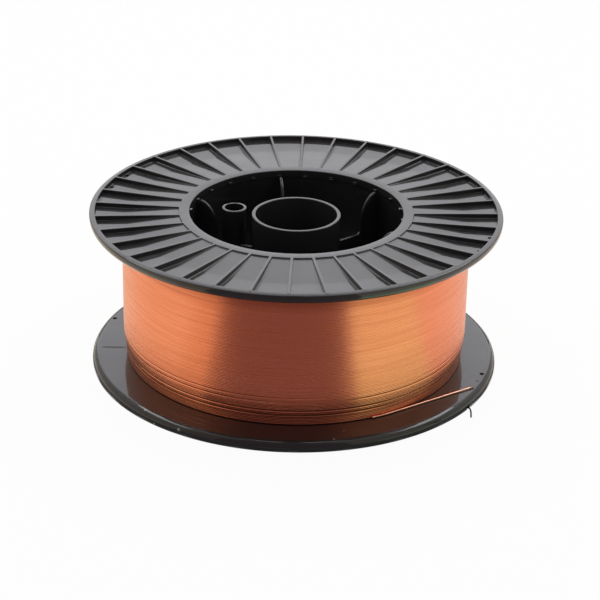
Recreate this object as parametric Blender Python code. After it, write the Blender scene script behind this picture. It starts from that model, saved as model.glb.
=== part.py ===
"""A plastic spool of copper-coated welding wire, lying flat on its lower flange.

Lengths are in metres. The spool's axis is +Z and the floor is z = 0. Azimuth 0 is +X.
The lower flange, the barrel and the hub are one moulding, the upper flange is a second one,
and the wire between the flanges is one turned solid.
"""

import math

import bmesh
import bpy
from mathutils import Vector

# Spool
FLANGE_DIAMETER = 0.2625
SPOOL_WIDTH = 0.1045
FLANGE_THICKNESS = 0.0067
BORE_DIAMETER = 0.0518
HUB_WALL = 0.0024
HUB_RECESS = 0.0042
BARREL_OPENING = 0.1360
BARREL_WALL = 0.0036
ROUND_STEPS = 72

# Flange face: an inner ring, a rim and radial ribs with pockets between them. The face falls from
# the rim to the ring.
FACE_FALL = 0.0016
FALL_MARGIN = 0.0004
INNER_RING_WIDTH = 0.0066
RIM_WIDTH = 0.0036
RIB_COUNT = 36
RIB_THICKNESS = 0.0016
RIB_DRAFT = math.radians(4.0)
POCKET_STEP = 0.0008
POCKET_DEPTH = 0.0029
POCKET_LEVEL_LENGTH = 0.0196
WIRE_SIDE_RADIUS = 0.0044
OPEN_SIDE_RADIUS = 0.0006
ROUNDING_STEPS = 4
UPPER_RIB_AZIMUTH = math.radians(-1.5)
LOWER_RIB_AZIMUTH = math.radians(-4.5)

# The barrel's end, whose tenon seats in a groove of the upper flange, and the flange's lugs
SEAT_CLEARANCE = 0.0003
TENON_WALL = 0.0019
TENON_HEIGHT = 0.0030
LUG_COUNT = 24
LUG_AZIMUTH = math.radians(10.5)
LUG_WIDTH = 0.0022
LUG_HEIGHT = 0.0015
LUG_REACH = 0.0009
LUG_ROOT = 0.0006
LUG_DROP = 0.0044

# Webs between the hub and the barrel, and the tube for the drive pin
WEB_COUNT = 6
WEB_AZIMUTH = math.radians(39.5)
WEB_THICKNESS = 0.0024
WEB_ROOT = 0.0008
WEB_BELOW_SHOULDER = 0.0004
WEB_GAP_AT_LUGS = 0.0004
WEB_RECESS = 0.0049
WEB_CORNER_LENGTH = 0.0140
WEB_CORNER_DROP = 0.0200
WEB_RECESS_AT_HUB = 0.0318
WEB_EDGE_STEPS = 8
DRIVE_HOLE_RADIUS = 0.0062
DRIVE_CIRCLE_RADIUS = 0.0445
DRIVE_AZIMUTH = math.radians(154.5)
DRIVE_TUBE_WALL = 0.0018
DRIVE_TUBE_RECESS = 0.0084
DRIVE_STEPS = 20

# Holes for the wire's end, in both flanges, and the notch in the lower rim
WIRE_HOLE_DIAMETER = 0.0030
WIRE_HOLE_INSET = 0.0055
WIRE_HOLE_AZIMUTHS = [math.radians(angle) for angle in (-26.5, -16.5, 153.5, 163.5)]
WIRE_HOLE_STEPS = 12
NOTCH_WIDTH = 0.0021
NOTCH_HEIGHT = 0.0034
NOTCH_AZIMUTH = math.radians(-33.3)
NOTCH_TURN = math.radians(1.3)

# Wire
WIRE_DIAMETER = 0.0010
BARE_FLANGE = 0.02215
WINDING_CLEARANCE = 0.0003
END_RIDGES = 5
RIDGE_DEPTH = 0.0005
TAIL_LEAD_IN = math.radians(8.0)
TAIL_BEND_LENGTH = 0.0050
TAIL_OVERHANG = 0.0073
TAIL_SWING = math.radians(-3.5)
TAIL_RUN_STEP = 0.0040
TAIL_BEND_STEP = 0.0009

FLANGE_RADIUS = FLANGE_DIAMETER / 2
RIM_INNER_RADIUS = FLANGE_RADIUS - RIM_WIDTH
OPENING_RADIUS = BARREL_OPENING / 2
RING_OUTER_RADIUS = OPENING_RADIUS + INNER_RING_WIDTH
BARREL_RADIUS = OPENING_RADIUS + BARREL_WALL
TENON_INNER_RADIUS = BARREL_RADIUS - TENON_WALL
BORE_RADIUS = BORE_DIAMETER / 2
HUB_RADIUS = BORE_RADIUS + HUB_WALL
BARREL_SHOULDER = SPOOL_WIDTH - FLANGE_THICKNESS - SEAT_CLEARANCE
WIRE_HOLE_CIRCLE = FLANGE_RADIUS - WIRE_HOLE_INSET
POCKET_SLOPE_END = RIM_INNER_RADIUS - POCKET_LEVEL_LENGTH
FALL_START_RADIUS = RIM_INNER_RADIUS + FALL_MARGIN
FALL_END_RADIUS = RING_OUTER_RADIUS - FALL_MARGIN
WOUND_RADIUS = FLANGE_RADIUS - BARE_FLANGE
CUT_MARGIN = 0.002


def clear_scene():
    """Removes every object of the open scene."""
    for old in list(bpy.data.objects):
        bpy.data.objects.remove(old, do_unlink=True)


def material(name, colour, roughness, metallic):
    """A Principled material of one colour."""
    made = bpy.data.materials.new(name)
    made.use_nodes = True
    shader = made.node_tree.nodes["Principled BSDF"]
    shader.inputs["Base Color"].default_value = (*colour, 1.0)
    shader.inputs["Roughness"].default_value = roughness
    shader.inputs["Metallic"].default_value = metallic
    return made


def on_circle(radius, azimuth, height=0.0):
    """The point at this radius, azimuth and height."""
    return Vector((radius * math.cos(azimuth), radius * math.sin(azimuth), height))


def add_object(name, shape, finish=None):
    """Turns a bmesh into an object, with a finish, or as a hidden helper without one."""
    mesh = bpy.data.meshes.new(name)
    shape.to_mesh(mesh)
    shape.free()
    made = bpy.data.objects.new(name, mesh)
    bpy.context.scene.collection.objects.link(made)
    if finish:
        mesh.materials.append(finish)
        mesh.shade_smooth()
        mesh.set_sharp_from_angle(angle=math.radians(30.0))
    else:
        made.hide_render = True
        made.display_type = "WIRE"
    return made


def turned(profile, steps=ROUND_STEPS):
    """A bmesh of the closed profile of (radius, height) points, turned about a vertical axis."""
    shape = bmesh.new()
    corners = [shape.verts.new((radius, 0.0, height)) for radius, height in profile]
    edges = [shape.edges.new((a, b)) for a, b in zip(corners, corners[1:] + corners[:1])]
    bmesh.ops.spin(
        shape, geom=corners + edges, cent=(0.0, 0.0, 0.0), axis=(0.0, 0.0, 1.0),
        angle=math.tau, steps=steps, use_merge=True,
    )
    bmesh.ops.remove_doubles(shape, verts=shape.verts, dist=1e-6)
    bmesh.ops.recalc_face_normals(shape, faces=shape.faces)
    return shape


def prism(shape, outline, rise):
    """Adds a closed prism: the outline's points, and the same points moved by rise."""
    low = [shape.verts.new(point) for point in outline]
    high = [shape.verts.new(point + rise) for point in outline]
    faces = [shape.faces.new(low), shape.faces.new(high[::-1])]
    for i, corner in enumerate(low):
        j = (i + 1) % len(low)
        faces.append(shape.faces.new((corner, high[i], high[j], low[j])))
    bmesh.ops.recalc_face_normals(shape, faces=faces)


def radial_block(shape, azimuth, radii, heights, width):
    """Adds a block that runs outwards along a radius, of even width."""
    across = on_circle(width / 2, azimuth + math.pi / 2)
    outline = [
        on_circle(radius, azimuth, heights[0]) + across * side
        for radius, side in ((radii[0], -1), (radii[1], -1), (radii[1], 1), (radii[0], 1))
    ]
    prism(shape, outline, Vector((0.0, 0.0, heights[1] - heights[0])))


def combine(target, helper, operation):
    """Joins a helper to a piece, or cuts it out, with a Boolean."""
    boolean = target.modifiers.new(helper.name, "BOOLEAN")
    boolean.object = helper
    boolean.operation = operation
    boolean.solver = "EXACT"


def rounding(centre, radius, start, end):
    """Points of a circular arc in a profile, from one angle to another."""
    angles = [start + (end - start) * i / ROUNDING_STEPS for i in range(ROUNDING_STEPS + 1)]
    return [(centre[0] + radius * math.cos(a), centre[1] + radius * math.sin(a)) for a in angles]


def rim_edge(open_face, side):
    """The rim's outer edge, from the open face to the wire side. side is the open face's normal."""
    wire_face = open_face - side * FLANGE_THICKNESS
    open_centre = (FLANGE_RADIUS - OPEN_SIDE_RADIUS, open_face - side * OPEN_SIDE_RADIUS)
    wire_centre = (FLANGE_RADIUS - WIRE_SIDE_RADIUS, wire_face + side * WIRE_SIDE_RADIUS)
    quarter = side * math.pi / 2
    return rounding(open_centre, OPEN_SIDE_RADIUS, quarter, 0.0) + rounding(
        wire_centre, WIRE_SIDE_RADIUS, 0.0, -quarter
    )


def face_fall(radius):
    """How far an open face lies inside the rim's level at this radius."""
    share = (FALL_START_RADIUS - radius) / (FALL_START_RADIUS - FALL_END_RADIUS)
    return FACE_FALL * min(max(share, 0.0), 1.0)


def pocket_floor(radius):
    """Depth of a pocket below the open face: a step at the ring, a slope, then level."""
    slope = POCKET_SLOPE_END - RING_OUTER_RADIUS
    along = min((radius - RING_OUTER_RADIUS) / slope, 1.0)
    return POCKET_STEP + (POCKET_DEPTH - POCKET_STEP) * along


def add_pocket(shape, azimuth, open_face, side):
    """Adds the cutter of the pocket that starts at the rib of this azimuth."""
    pitch = math.tau / RIB_COUNT
    radii = (RING_OUTER_RADIUS, POCKET_SLOPE_END, RIM_INNER_RADIUS)
    floor, mouth = [], []
    for radius in radii:
        depth = pocket_floor(radius)
        for rows, level in ((floor, -depth), (mouth, CUT_MARGIN)):
            half = RIB_THICKNESS / 2 - level * math.tan(RIB_DRAFT)
            inset = math.asin(half / radius)
            turns = (inset, pitch / 2, pitch - inset)
            height = open_face + side * (level - face_fall(radius))
            rows.append([shape.verts.new(on_circle(radius, azimuth + t, height)) for t in turns])
    last = len(radii) - 1
    for grid in (floor, mouth):
        for near, far in zip(grid, grid[1:]):
            for j in (0, 1):
                shape.faces.new((near[j], near[j + 1], far[j + 1], far[j]))
    for i in (0, last):
        for j in (0, 1):
            shape.faces.new((floor[i][j], floor[i][j + 1], mouth[i][j + 1], mouth[i][j]))
    for i in range(last):
        for j in (0, 2):
            shape.faces.new((floor[i][j], floor[i + 1][j], mouth[i + 1][j], mouth[i][j]))


def pocket_cutter(name, first_rib, open_face, side):
    """All the pockets of one flange as one cutter."""
    shape = bmesh.new()
    for i in range(RIB_COUNT):
        add_pocket(shape, first_rib + math.tau * i / RIB_COUNT, open_face, side)
    bmesh.ops.recalc_face_normals(shape, faces=shape.faces)
    return add_object(name, shape)


def wire_hole_cutter(name, low, high):
    """The holes for the wire's end through one flange."""
    shape = bmesh.new()
    for azimuth in WIRE_HOLE_AZIMUTHS:
        centre = on_circle(WIRE_HOLE_CIRCLE, azimuth, low)
        outline = [
            centre + on_circle(WIRE_HOLE_DIAMETER / 2, math.tau * i / WIRE_HOLE_STEPS)
            for i in range(WIRE_HOLE_STEPS)
        ]
        prism(shape, outline, Vector((0.0, 0.0, high - low)))
    return add_object(name, shape)


def body_profile():
    """Section of the lower flange and the barrel."""
    return [
        (OPENING_RADIUS, BARREL_SHOULDER),
        (OPENING_RADIUS, FACE_FALL),
        (FALL_END_RADIUS, FACE_FALL),
        (FALL_START_RADIUS, 0.0),
        *rim_edge(0.0, -1),
        (BARREL_RADIUS, FLANGE_THICKNESS),
        (BARREL_RADIUS, BARREL_SHOULDER + TENON_HEIGHT),
        (TENON_INNER_RADIUS, BARREL_SHOULDER + TENON_HEIGHT),
        (TENON_INNER_RADIUS, BARREL_SHOULDER),
    ]


def hub_tube():
    """The tube that fits the machine's spindle."""
    low, high = HUB_RECESS, SPOOL_WIDTH - HUB_RECESS
    profile = [(BORE_RADIUS, low), (HUB_RADIUS, low), (HUB_RADIUS, high), (BORE_RADIUS, high)]
    return add_object("hub_tube_helper", turned(profile))


def web_edge():
    """(radius, recess) points of a web's edge: a rounded corner at the barrel, then deep and level."""
    inner, outer = HUB_RADIUS - WEB_ROOT, OPENING_RADIUS + WEB_ROOT
    recess_at_barrel = SPOOL_WIDTH - BARREL_SHOULDER + WEB_BELOW_SHOULDER
    corner = OPENING_RADIUS - LUG_REACH - WEB_GAP_AT_LUGS
    points = [(outer, recess_at_barrel), (corner, recess_at_barrel)]
    start = math.asin((OPENING_RADIUS - corner) / WEB_CORNER_LENGTH)
    for i in range(WEB_EDGE_STEPS + 1):
        turn = start + (math.pi / 2 - start) * i / WEB_EDGE_STEPS
        recess = WEB_RECESS + WEB_CORNER_DROP * (1 - math.cos(turn))
        points.append((OPENING_RADIUS - WEB_CORNER_LENGTH * math.sin(turn), recess))
    foot = OPENING_RADIUS - WEB_CORNER_LENGTH
    return points + [(foot, WEB_RECESS_AT_HUB), (inner, WEB_RECESS_AT_HUB)]


def hub_webs():
    """The radial webs that carry the hub tube in the barrel."""
    shape = bmesh.new()
    edge = web_edge()
    for i in range(WEB_COUNT):
        azimuth = WEB_AZIMUTH + math.tau * i / WEB_COUNT
        across = on_circle(WEB_THICKNESS, azimuth + math.pi / 2)
        upper = [on_circle(radius, azimuth, SPOOL_WIDTH - recess) for radius, recess in edge]
        lower = [on_circle(radius, azimuth, recess) for radius, recess in edge]
        outline = [point - across / 2 for point in upper + lower[::-1]]
        prism(shape, outline, across)
    return add_object("hub_web_helper", shape)


def drive_tube_parts():
    """The drive-pin tube beside a web, as the solid tube and the hole through it."""
    centre = on_circle(DRIVE_CIRCLE_RADIUS, DRIVE_AZIMUTH)
    parts = []
    for name, radius, recess in (
        ("drive_tube_helper", DRIVE_HOLE_RADIUS + DRIVE_TUBE_WALL, DRIVE_TUBE_RECESS),
        ("drive_hole_cutter", DRIVE_HOLE_RADIUS, -CUT_MARGIN),
    ):
        shape = bmesh.new()
        outline = [
            centre + on_circle(radius, DRIVE_AZIMUTH + math.tau * (i + 0.5) / DRIVE_STEPS, recess)
            for i in range(DRIVE_STEPS)
        ]
        prism(shape, outline, Vector((0.0, 0.0, SPOOL_WIDTH - 2 * recess)))
        parts.append(add_object(name, shape))
    return parts


def rim_notch():
    """The notch in the lower rim that the wire's end leaves through."""
    shape = bmesh.new()
    radii = (RIM_INNER_RADIUS - CUT_MARGIN, FLANGE_RADIUS + CUT_MARGIN)
    radial_block(shape, NOTCH_AZIMUTH, radii, (-CUT_MARGIN, NOTCH_HEIGHT), NOTCH_WIDTH)
    return add_object("rim_notch_cutter", shape)


def spool_body(plastic):
    """The moulding of lower flange, barrel, webs, hub and drive-pin tube."""
    body = add_object("spool_body", turned(body_profile()), plastic)
    drive_tube, drive_hole = drive_tube_parts()
    for helper in (hub_tube(), hub_webs(), drive_tube):
        combine(body, helper, "UNION")
    combine(body, drive_hole, "DIFFERENCE")
    combine(body, pocket_cutter("lower_pockets", LOWER_RIB_AZIMUTH, 0.0, -1), "DIFFERENCE")
    top_of_cut = FLANGE_THICKNESS + CUT_MARGIN
    combine(body, wire_hole_cutter("lower_wire_holes", -CUT_MARGIN, top_of_cut), "DIFFERENCE")
    combine(body, rim_notch(), "DIFFERENCE")
    return body


def upper_flange_profile():
    """Section of the upper flange, with the groove that takes the barrel's tenon."""
    wire_face = SPOOL_WIDTH - FLANGE_THICKNESS
    groove_end = wire_face + TENON_HEIGHT
    return [
        (OPENING_RADIUS, SPOOL_WIDTH - FACE_FALL),
        (FALL_END_RADIUS, SPOOL_WIDTH - FACE_FALL),
        (FALL_START_RADIUS, SPOOL_WIDTH),
        *rim_edge(SPOOL_WIDTH, 1),
        (BARREL_RADIUS + SEAT_CLEARANCE, wire_face),
        (BARREL_RADIUS + SEAT_CLEARANCE, groove_end),
        (TENON_INNER_RADIUS - SEAT_CLEARANCE, groove_end),
        (TENON_INNER_RADIUS - SEAT_CLEARANCE, wire_face),
        (OPENING_RADIUS, wire_face),
    ]


def snap_lugs():
    """The small lugs on the upper flange's inner wall."""
    shape = bmesh.new()
    high = SPOOL_WIDTH - LUG_DROP
    radii = (OPENING_RADIUS - LUG_REACH, OPENING_RADIUS + LUG_ROOT)
    for i in range(LUG_COUNT):
        azimuth = LUG_AZIMUTH + math.tau * i / LUG_COUNT
        radial_block(shape, azimuth, radii, (high - LUG_HEIGHT, high), LUG_WIDTH)
    return add_object("snap_lug_helper", shape)


def top_flange(plastic):
    """The pressed-on upper flange."""
    flange = add_object("top_flange", turned(upper_flange_profile()), plastic)
    combine(flange, snap_lugs(), "UNION")
    pockets = pocket_cutter("upper_pockets", UPPER_RIB_AZIMUTH, SPOOL_WIDTH, 1)
    combine(flange, pockets, "DIFFERENCE")
    low = SPOOL_WIDTH - FLANGE_THICKNESS - CUT_MARGIN
    holes = wire_hole_cutter("upper_wire_holes", low, SPOOL_WIDTH + CUT_MARGIN)
    combine(flange, holes, "DIFFERENCE")
    return flange


def end_ridges(inner, outer, level, inwards):
    """Ridged turns on one end of the winding, from the bore outwards."""
    points = []
    for i in range(END_RIDGES):
        groove = inner + (outer - inner) * (i + 0.5) / END_RIDGES
        crest = inner + (outer - inner) * (i + 1.0) / END_RIDGES
        points.append((groove, level + inwards * RIDGE_DEPTH))
        points.append((crest, level))
    return points[:-1]


def wire_winding(copper):
    """The wound wire as one turned ring."""
    bore = BARREL_RADIUS + WINDING_CLEARANCE
    low = FLANGE_THICKNESS + WINDING_CLEARANCE
    high = SPOOL_WIDTH - FLANGE_THICKNESS - WINDING_CLEARANCE
    bulge = WIRE_DIAMETER / 2
    edge = WOUND_RADIUS - bulge
    profile = [
        (bore, low),
        *end_ridges(bore, edge, low, 1),
        (edge, low),
        (WOUND_RADIUS, low + bulge),
        (WOUND_RADIUS, high - bulge),
        (edge, high),
        *reversed(end_ridges(bore, edge, high, -1)),
        (bore, high),
    ]
    return add_object("wire_winding", turned(profile), copper)


def tail_run():
    """The wire's end along the lowest turn, then straight towards its hole."""
    height = FLANGE_THICKNESS + WINDING_CLEARANCE + WIRE_DIAMETER / 2
    turn = WOUND_RADIUS + WINDING_CLEARANCE + WIRE_DIAMETER / 2
    leaves = WIRE_HOLE_AZIMUTHS[0] - math.acos(turn / WIRE_HOLE_CIRCLE)
    lead = [on_circle(turn, leaves - TAIL_LEAD_IN * (1 - i / 6), height) for i in range(7)]
    hole = on_circle(WIRE_HOLE_CIRCLE, WIRE_HOLE_AZIMUTHS[0], height)
    bend_start = hole - (hole - lead[-1]).normalized() * TAIL_BEND_LENGTH
    return lead + [lead[-1].lerp(bend_start, 0.5), bend_start]


def tail_drop(run):
    """The wire's end from the run down its hole, along the pocket and out through the notch."""
    hole = on_circle(WIRE_HOLE_CIRCLE, WIRE_HOLE_AZIMUTHS[0])
    along = (run[-1] - run[-2]).normalized()
    slack = (WIRE_HOLE_DIAMETER - WIRE_DIAMETER) / 2
    level = (POCKET_DEPTH - WIRE_DIAMETER) * 0.8
    corner = on_circle(RIM_INNER_RADIUS - WIRE_DIAMETER * 2.6, NOTCH_AZIMUTH + NOTCH_TURN)
    sideways = (corner - hole).normalized()
    top, web = run[-1].z, Vector((0.0, 0.0, POCKET_DEPTH))
    rise = Vector((0.0, 0.0, 1.0))
    down = [
        hole - along * TAIL_BEND_LENGTH * 0.45 + rise * top,
        hole - along * slack * 0.3 + rise * (top - WIRE_DIAMETER * 0.3),
        hole + along * slack * 0.3 + rise * (top - WIRE_DIAMETER * 1.3),
        hole + web + rise * WIRE_DIAMETER * 1.2,
        hole + sideways * slack * 0.3 + web,
        hole + sideways * WIRE_DIAMETER * 1.8 + rise * level,
    ]
    out = [
        corner + rise * level,
        on_circle(RIM_INNER_RADIUS - WIRE_DIAMETER, NOTCH_AZIMUTH + NOTCH_TURN * 0.15, level),
        on_circle(FLANGE_RADIUS - RIM_WIDTH / 2, NOTCH_AZIMUTH, level),
        on_circle(FLANGE_RADIUS + WIRE_DIAMETER, NOTCH_AZIMUTH, level * 0.9),
        on_circle(
            FLANGE_RADIUS + TAIL_OVERHANG / 2, NOTCH_AZIMUTH + TAIL_SWING / 3, WIRE_DIAMETER
        ),
        on_circle(
            FLANGE_RADIUS + TAIL_OVERHANG, NOTCH_AZIMUTH + TAIL_SWING, WIRE_DIAMETER * 0.6
        ),
    ]
    return run[-1:] + down + out


def smooth_path(points, step):
    """Points at an even step along a smooth curve through the given points."""
    padded = [2 * points[0] - points[1], *points, 2 * points[-1] - points[-2]]
    fine = []
    for a, b, c, d in zip(padded, padded[1:], padded[2:], padded[3:]):
        for i in range(20):
            t = i / 20
            bend = (2 * a - 5 * b + 4 * c - d) * t * t + (3 * b - a - 3 * c + d) * t * t * t
            fine.append(b + ((c - a) * t + bend) / 2)
    fine.append(points[-1])
    lengths = [0.0]
    for a, b in zip(fine, fine[1:]):
        lengths.append(lengths[-1] + (b - a).length)
    count = max(round(lengths[-1] / step), 2)
    path, k = [], 0
    for i in range(count + 1):
        wanted = lengths[-1] * i / count
        while k < len(fine) - 2 and lengths[k + 1] < wanted:
            k += 1
        share = (wanted - lengths[k]) / (lengths[k + 1] - lengths[k])
        path.append(fine[k].lerp(fine[k + 1], min(share, 1.0)))
    return path


def wire_tail(copper):
    """The end of the wire: a round tube along its route."""
    run = tail_run()
    path = smooth_path(run, TAIL_RUN_STEP)[:-1] + smooth_path(tail_drop(run), TAIL_BEND_STEP)
    curve = bpy.data.curves.new("wire_tail", "CURVE")
    curve.dimensions = "3D"
    curve.bevel_depth = WIRE_DIAMETER / 2
    curve.bevel_resolution = 2
    curve.use_fill_caps = True
    spline = curve.splines.new("POLY")
    spline.points.add(len(path) - 1)
    for point, place in zip(spline.points, path):
        point.co = (*place, 1.0)
    curve.materials.append(copper)
    made = bpy.data.objects.new("wire_tail", curve)
    bpy.context.scene.collection.objects.link(made)
    return made


def main():
    """Builds the four pieces."""
    clear_scene()
    plastic = material("moulded_black_plastic", (0.012, 0.012, 0.013), 0.28, 0.0)
    copper = material("copper_coated_wire", (0.72, 0.33, 0.19), 0.30, 1.0)
    spool_body(plastic)
    top_flange(plastic)
    wire_winding(copper)
    wire_tail(copper)


main()
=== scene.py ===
"""Looks of a black plastic spool of copper-coated welding wire that lies flat on its lower flange.

Lengths are in metres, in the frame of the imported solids: the spool's axis is +Z, the floor is z = 0,
azimuth 0 is +X and the viewer stands towards -Y.
"""

import logging
import math
from collections.abc import Callable
from dataclasses import dataclass
from enum import Enum
from functools import partial

import bmesh
import bpy
from bpy.types import ID, Material, Node, NodeSocket, NodeTree, Object
from mathutils import Matrix, Vector


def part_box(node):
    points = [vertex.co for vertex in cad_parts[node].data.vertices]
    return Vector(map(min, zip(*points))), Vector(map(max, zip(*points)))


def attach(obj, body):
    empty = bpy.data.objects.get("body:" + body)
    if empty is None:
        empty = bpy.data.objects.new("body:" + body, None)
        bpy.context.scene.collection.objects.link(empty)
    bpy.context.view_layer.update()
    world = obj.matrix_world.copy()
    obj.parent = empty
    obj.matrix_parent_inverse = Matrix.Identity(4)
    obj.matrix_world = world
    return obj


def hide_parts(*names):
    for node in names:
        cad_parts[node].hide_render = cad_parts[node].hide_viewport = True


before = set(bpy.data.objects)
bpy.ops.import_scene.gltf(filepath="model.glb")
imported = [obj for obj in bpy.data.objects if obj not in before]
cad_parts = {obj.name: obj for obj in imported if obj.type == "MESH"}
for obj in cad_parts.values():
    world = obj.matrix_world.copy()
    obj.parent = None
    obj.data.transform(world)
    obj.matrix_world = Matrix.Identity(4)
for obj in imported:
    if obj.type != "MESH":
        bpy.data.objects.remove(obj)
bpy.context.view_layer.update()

LOG = logging.getLogger("wire_spool")
MM = 0.001
DEG = math.pi / 180
BODY = "root"
MERGE = 0.002 * MM
WHITE = (1.0, 1.0, 1.0, 1.0)
SHARP_ANGLE = 38 * DEG
# Most of a noise texture's values lie between these two.
NOISE_SPAN = (0.3, 0.7)

# A RANGE node takes, in order, a value, its low and high end, and what those two become.
MATHS, VECTORS, RANGE = "ShaderNodeMath", "ShaderNodeVectorMath", "ShaderNodeMapRange"
NOISE, BLEND, BUMP = "ShaderNodeTexNoise", "ShaderNodeMix", "ShaderNodeBump"
SPLIT, COMBINE = "ShaderNodeSeparateXYZ", "ShaderNodeCombineXYZ"
SOCKETS = {int: "NodeSocketInt", float: "NodeSocketFloat", Material: "NodeSocketMaterial"}

Point = tuple[float, float, float]
Section = list[tuple[float, float]]
Inputs = dict[str, NodeSocket]
Adder = Callable[..., Node]


class Face(Enum):
    """Which way a flange's open, ribbed face looks: the value is the face's normal along Z."""

    UP = 1
    DOWN = -1


def linear(code: str) -> tuple[float, float, float, float]:
    """Turns an sRGB hex colour into a linear one.

    Args:
        code: The colour as "#rrggbb".

    Returns:
        Red, green, blue and an alpha of 1.
    """
    parts = [int(code[i:i + 2], 16) / 255 for i in (1, 3, 5)]
    red, green, blue = (p / 12.92 if p <= 0.04045 else ((p + 0.055) / 1.055) ** 2.4 for p in parts)
    return red, green, blue, 1.0


def polar(radius: float, azimuth: float, height: float = 0.0) -> Vector:
    """Returns the point at this radius, azimuth and height."""
    return Vector((radius * math.cos(azimuth), radius * math.sin(azimuth), height))


def arc(centre: tuple[float, float], radius: float, start: float, end: float, steps: int) -> list:
    """Points of a circular arc in a section.

    Args:
        centre: The arc's centre in the section.
        radius: The arc's radius.
        start: The angle that it starts at, in degrees.
        end: The angle that it ends at, in degrees.
        steps: How many straight parts it has.

    Returns:
        The points as pairs.
    """
    angles = [(start + (end - start) * i / steps) * DEG for i in range(steps + 1)]
    return [(centre[0] + radius * math.cos(a), centre[1] + radius * math.sin(a)) for a in angles]


def add_node(tree: NodeTree, kind: str, links: dict | tuple = (), **settings) -> Node:
    """Adds a node to a tree, with its settings, values and links.

    Args:
        tree: The node tree.
        kind: The node's type, such as ShaderNodeMath.
        links: What each input gets, by name or number, or in order if this is a tuple: its value, the
            socket that feeds it, or the node whose first output in use does.
        **settings: The node's own properties.

    Returns:
        The new node.
    """
    node = tree.nodes.new(kind)
    for key, value in settings.items():
        setattr(node, key, value)
    for key, value in (links if isinstance(links, dict) else dict(enumerate(links))).items():
        if isinstance(value, Node):
            value = next(socket for socket in value.outputs if socket.enabled)
        if isinstance(value, NodeSocket):
            tree.links.new(value, node.inputs[key])
        else:
            node.inputs[key].default_value = value
    return node


def new_material(name: str) -> tuple[Material, Adder]:
    """Makes a material with an empty node tree, and returns it with the function that adds a node."""
    made = bpy.data.materials.new(name)
    made.use_nodes = True
    made.node_tree.nodes.clear()
    return made, partial(add_node, made.node_tree)


def new_object(name: str, data: ID) -> Object:
    """Links a mesh, a camera or a light into the scene as an object at the origin."""
    made = bpy.data.objects.new(name, data)
    bpy.context.scene.collection.objects.link(made)
    return made


def plain_copy(source: Object, name: str) -> Object:
    """Turns an object with its modifiers into a plain mesh object, and removes the first one.

    Args:
        source: The object whose evaluated mesh is kept.
        name: The new object's name.

    Returns:
        The new object, with no modifiers.
    """
    bpy.context.view_layer.update()
    evaluated = source.evaluated_get(bpy.context.evaluated_depsgraph_get())
    mesh = bpy.data.meshes.new_from_object(evaluated)
    bpy.data.objects.remove(source, do_unlink=True)
    mesh.name = name
    return new_object(name, mesh)


def boolean(target: Object, other: Object, operation: str) -> Object:
    """Joins another object to this one, or cuts it out, and removes the other.

    Args:
        target: The object that is kept.
        other: The object to join or to cut out.
        operation: UNION or DIFFERENCE.

    Returns:
        The result as a plain object with the target's name.
    """
    name = target.name
    modifier = target.modifiers.new("joint", "BOOLEAN")
    modifier.object, modifier.operation, modifier.solver = other, operation, "EXACT"
    target.name = name + "_before"
    made = plain_copy(target, name)
    bpy.data.objects.remove(other, do_unlink=True)
    return made


def joined(objects: list[Object], name: str) -> Object:
    """Makes one object of several, with their doubles merged and their faces pointing outwards.

    Args:
        objects: The objects, which are removed.
        name: The new object's name.

    Returns:
        The new object.
    """
    shape = bmesh.new()
    for part in objects:
        shape.from_mesh(part.data)
        bpy.data.objects.remove(part, do_unlink=True)
    bmesh.ops.remove_doubles(shape, verts=shape.verts, dist=MERGE)
    bmesh.ops.recalc_face_normals(shape, faces=shape.faces)
    mesh = bpy.data.meshes.new(name)
    shape.to_mesh(mesh)
    shape.free()
    return new_object(name, mesh)


def lofted(rows: list[list[Point]], name: str, close_rows: bool, close_ends: bool) -> Object:
    """Makes a mesh of quads through rows of points.

    Args:
        rows: The rows, each with as many points.
        name: The object's name.
        close_rows: Whether each row's last point joins its first.
        close_ends: Whether the first and the last row are filled.

    Returns:
        The new object.
    """
    width = len(rows[0])
    points = [tuple(point) for row in rows for point in row]
    faces = []
    for i in range(len(rows) - 1):
        for j in range(width if close_rows else width - 1):
            k = (j + 1) % width
            faces.append((i * width + j, i * width + k, (i + 1) * width + k, (i + 1) * width + j))
    if close_ends:
        faces.append(tuple(range(width))[::-1])
        faces.append(tuple(range((len(rows) - 1) * width, len(rows) * width)))
    mesh = bpy.data.meshes.new(name)
    mesh.from_pydata(points, [], faces)
    return joined([new_object(name, mesh)], name)


def turned(section: Section, name: str, steps: int, closed: bool = True) -> Object:
    """Turns a section about the spool's axis.

    Args:
        section: Points as radius and height.
        name: The object's name.
        steps: How many steps the turn has.
        closed: Whether the section's last point joins its first.

    Returns:
        The new object.
    """
    rows = [[polar(r, math.tau * i / steps, z) for r, z in section] for i in range(steps)]
    return lofted(rows + rows[:1], name, closed, False)


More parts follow.
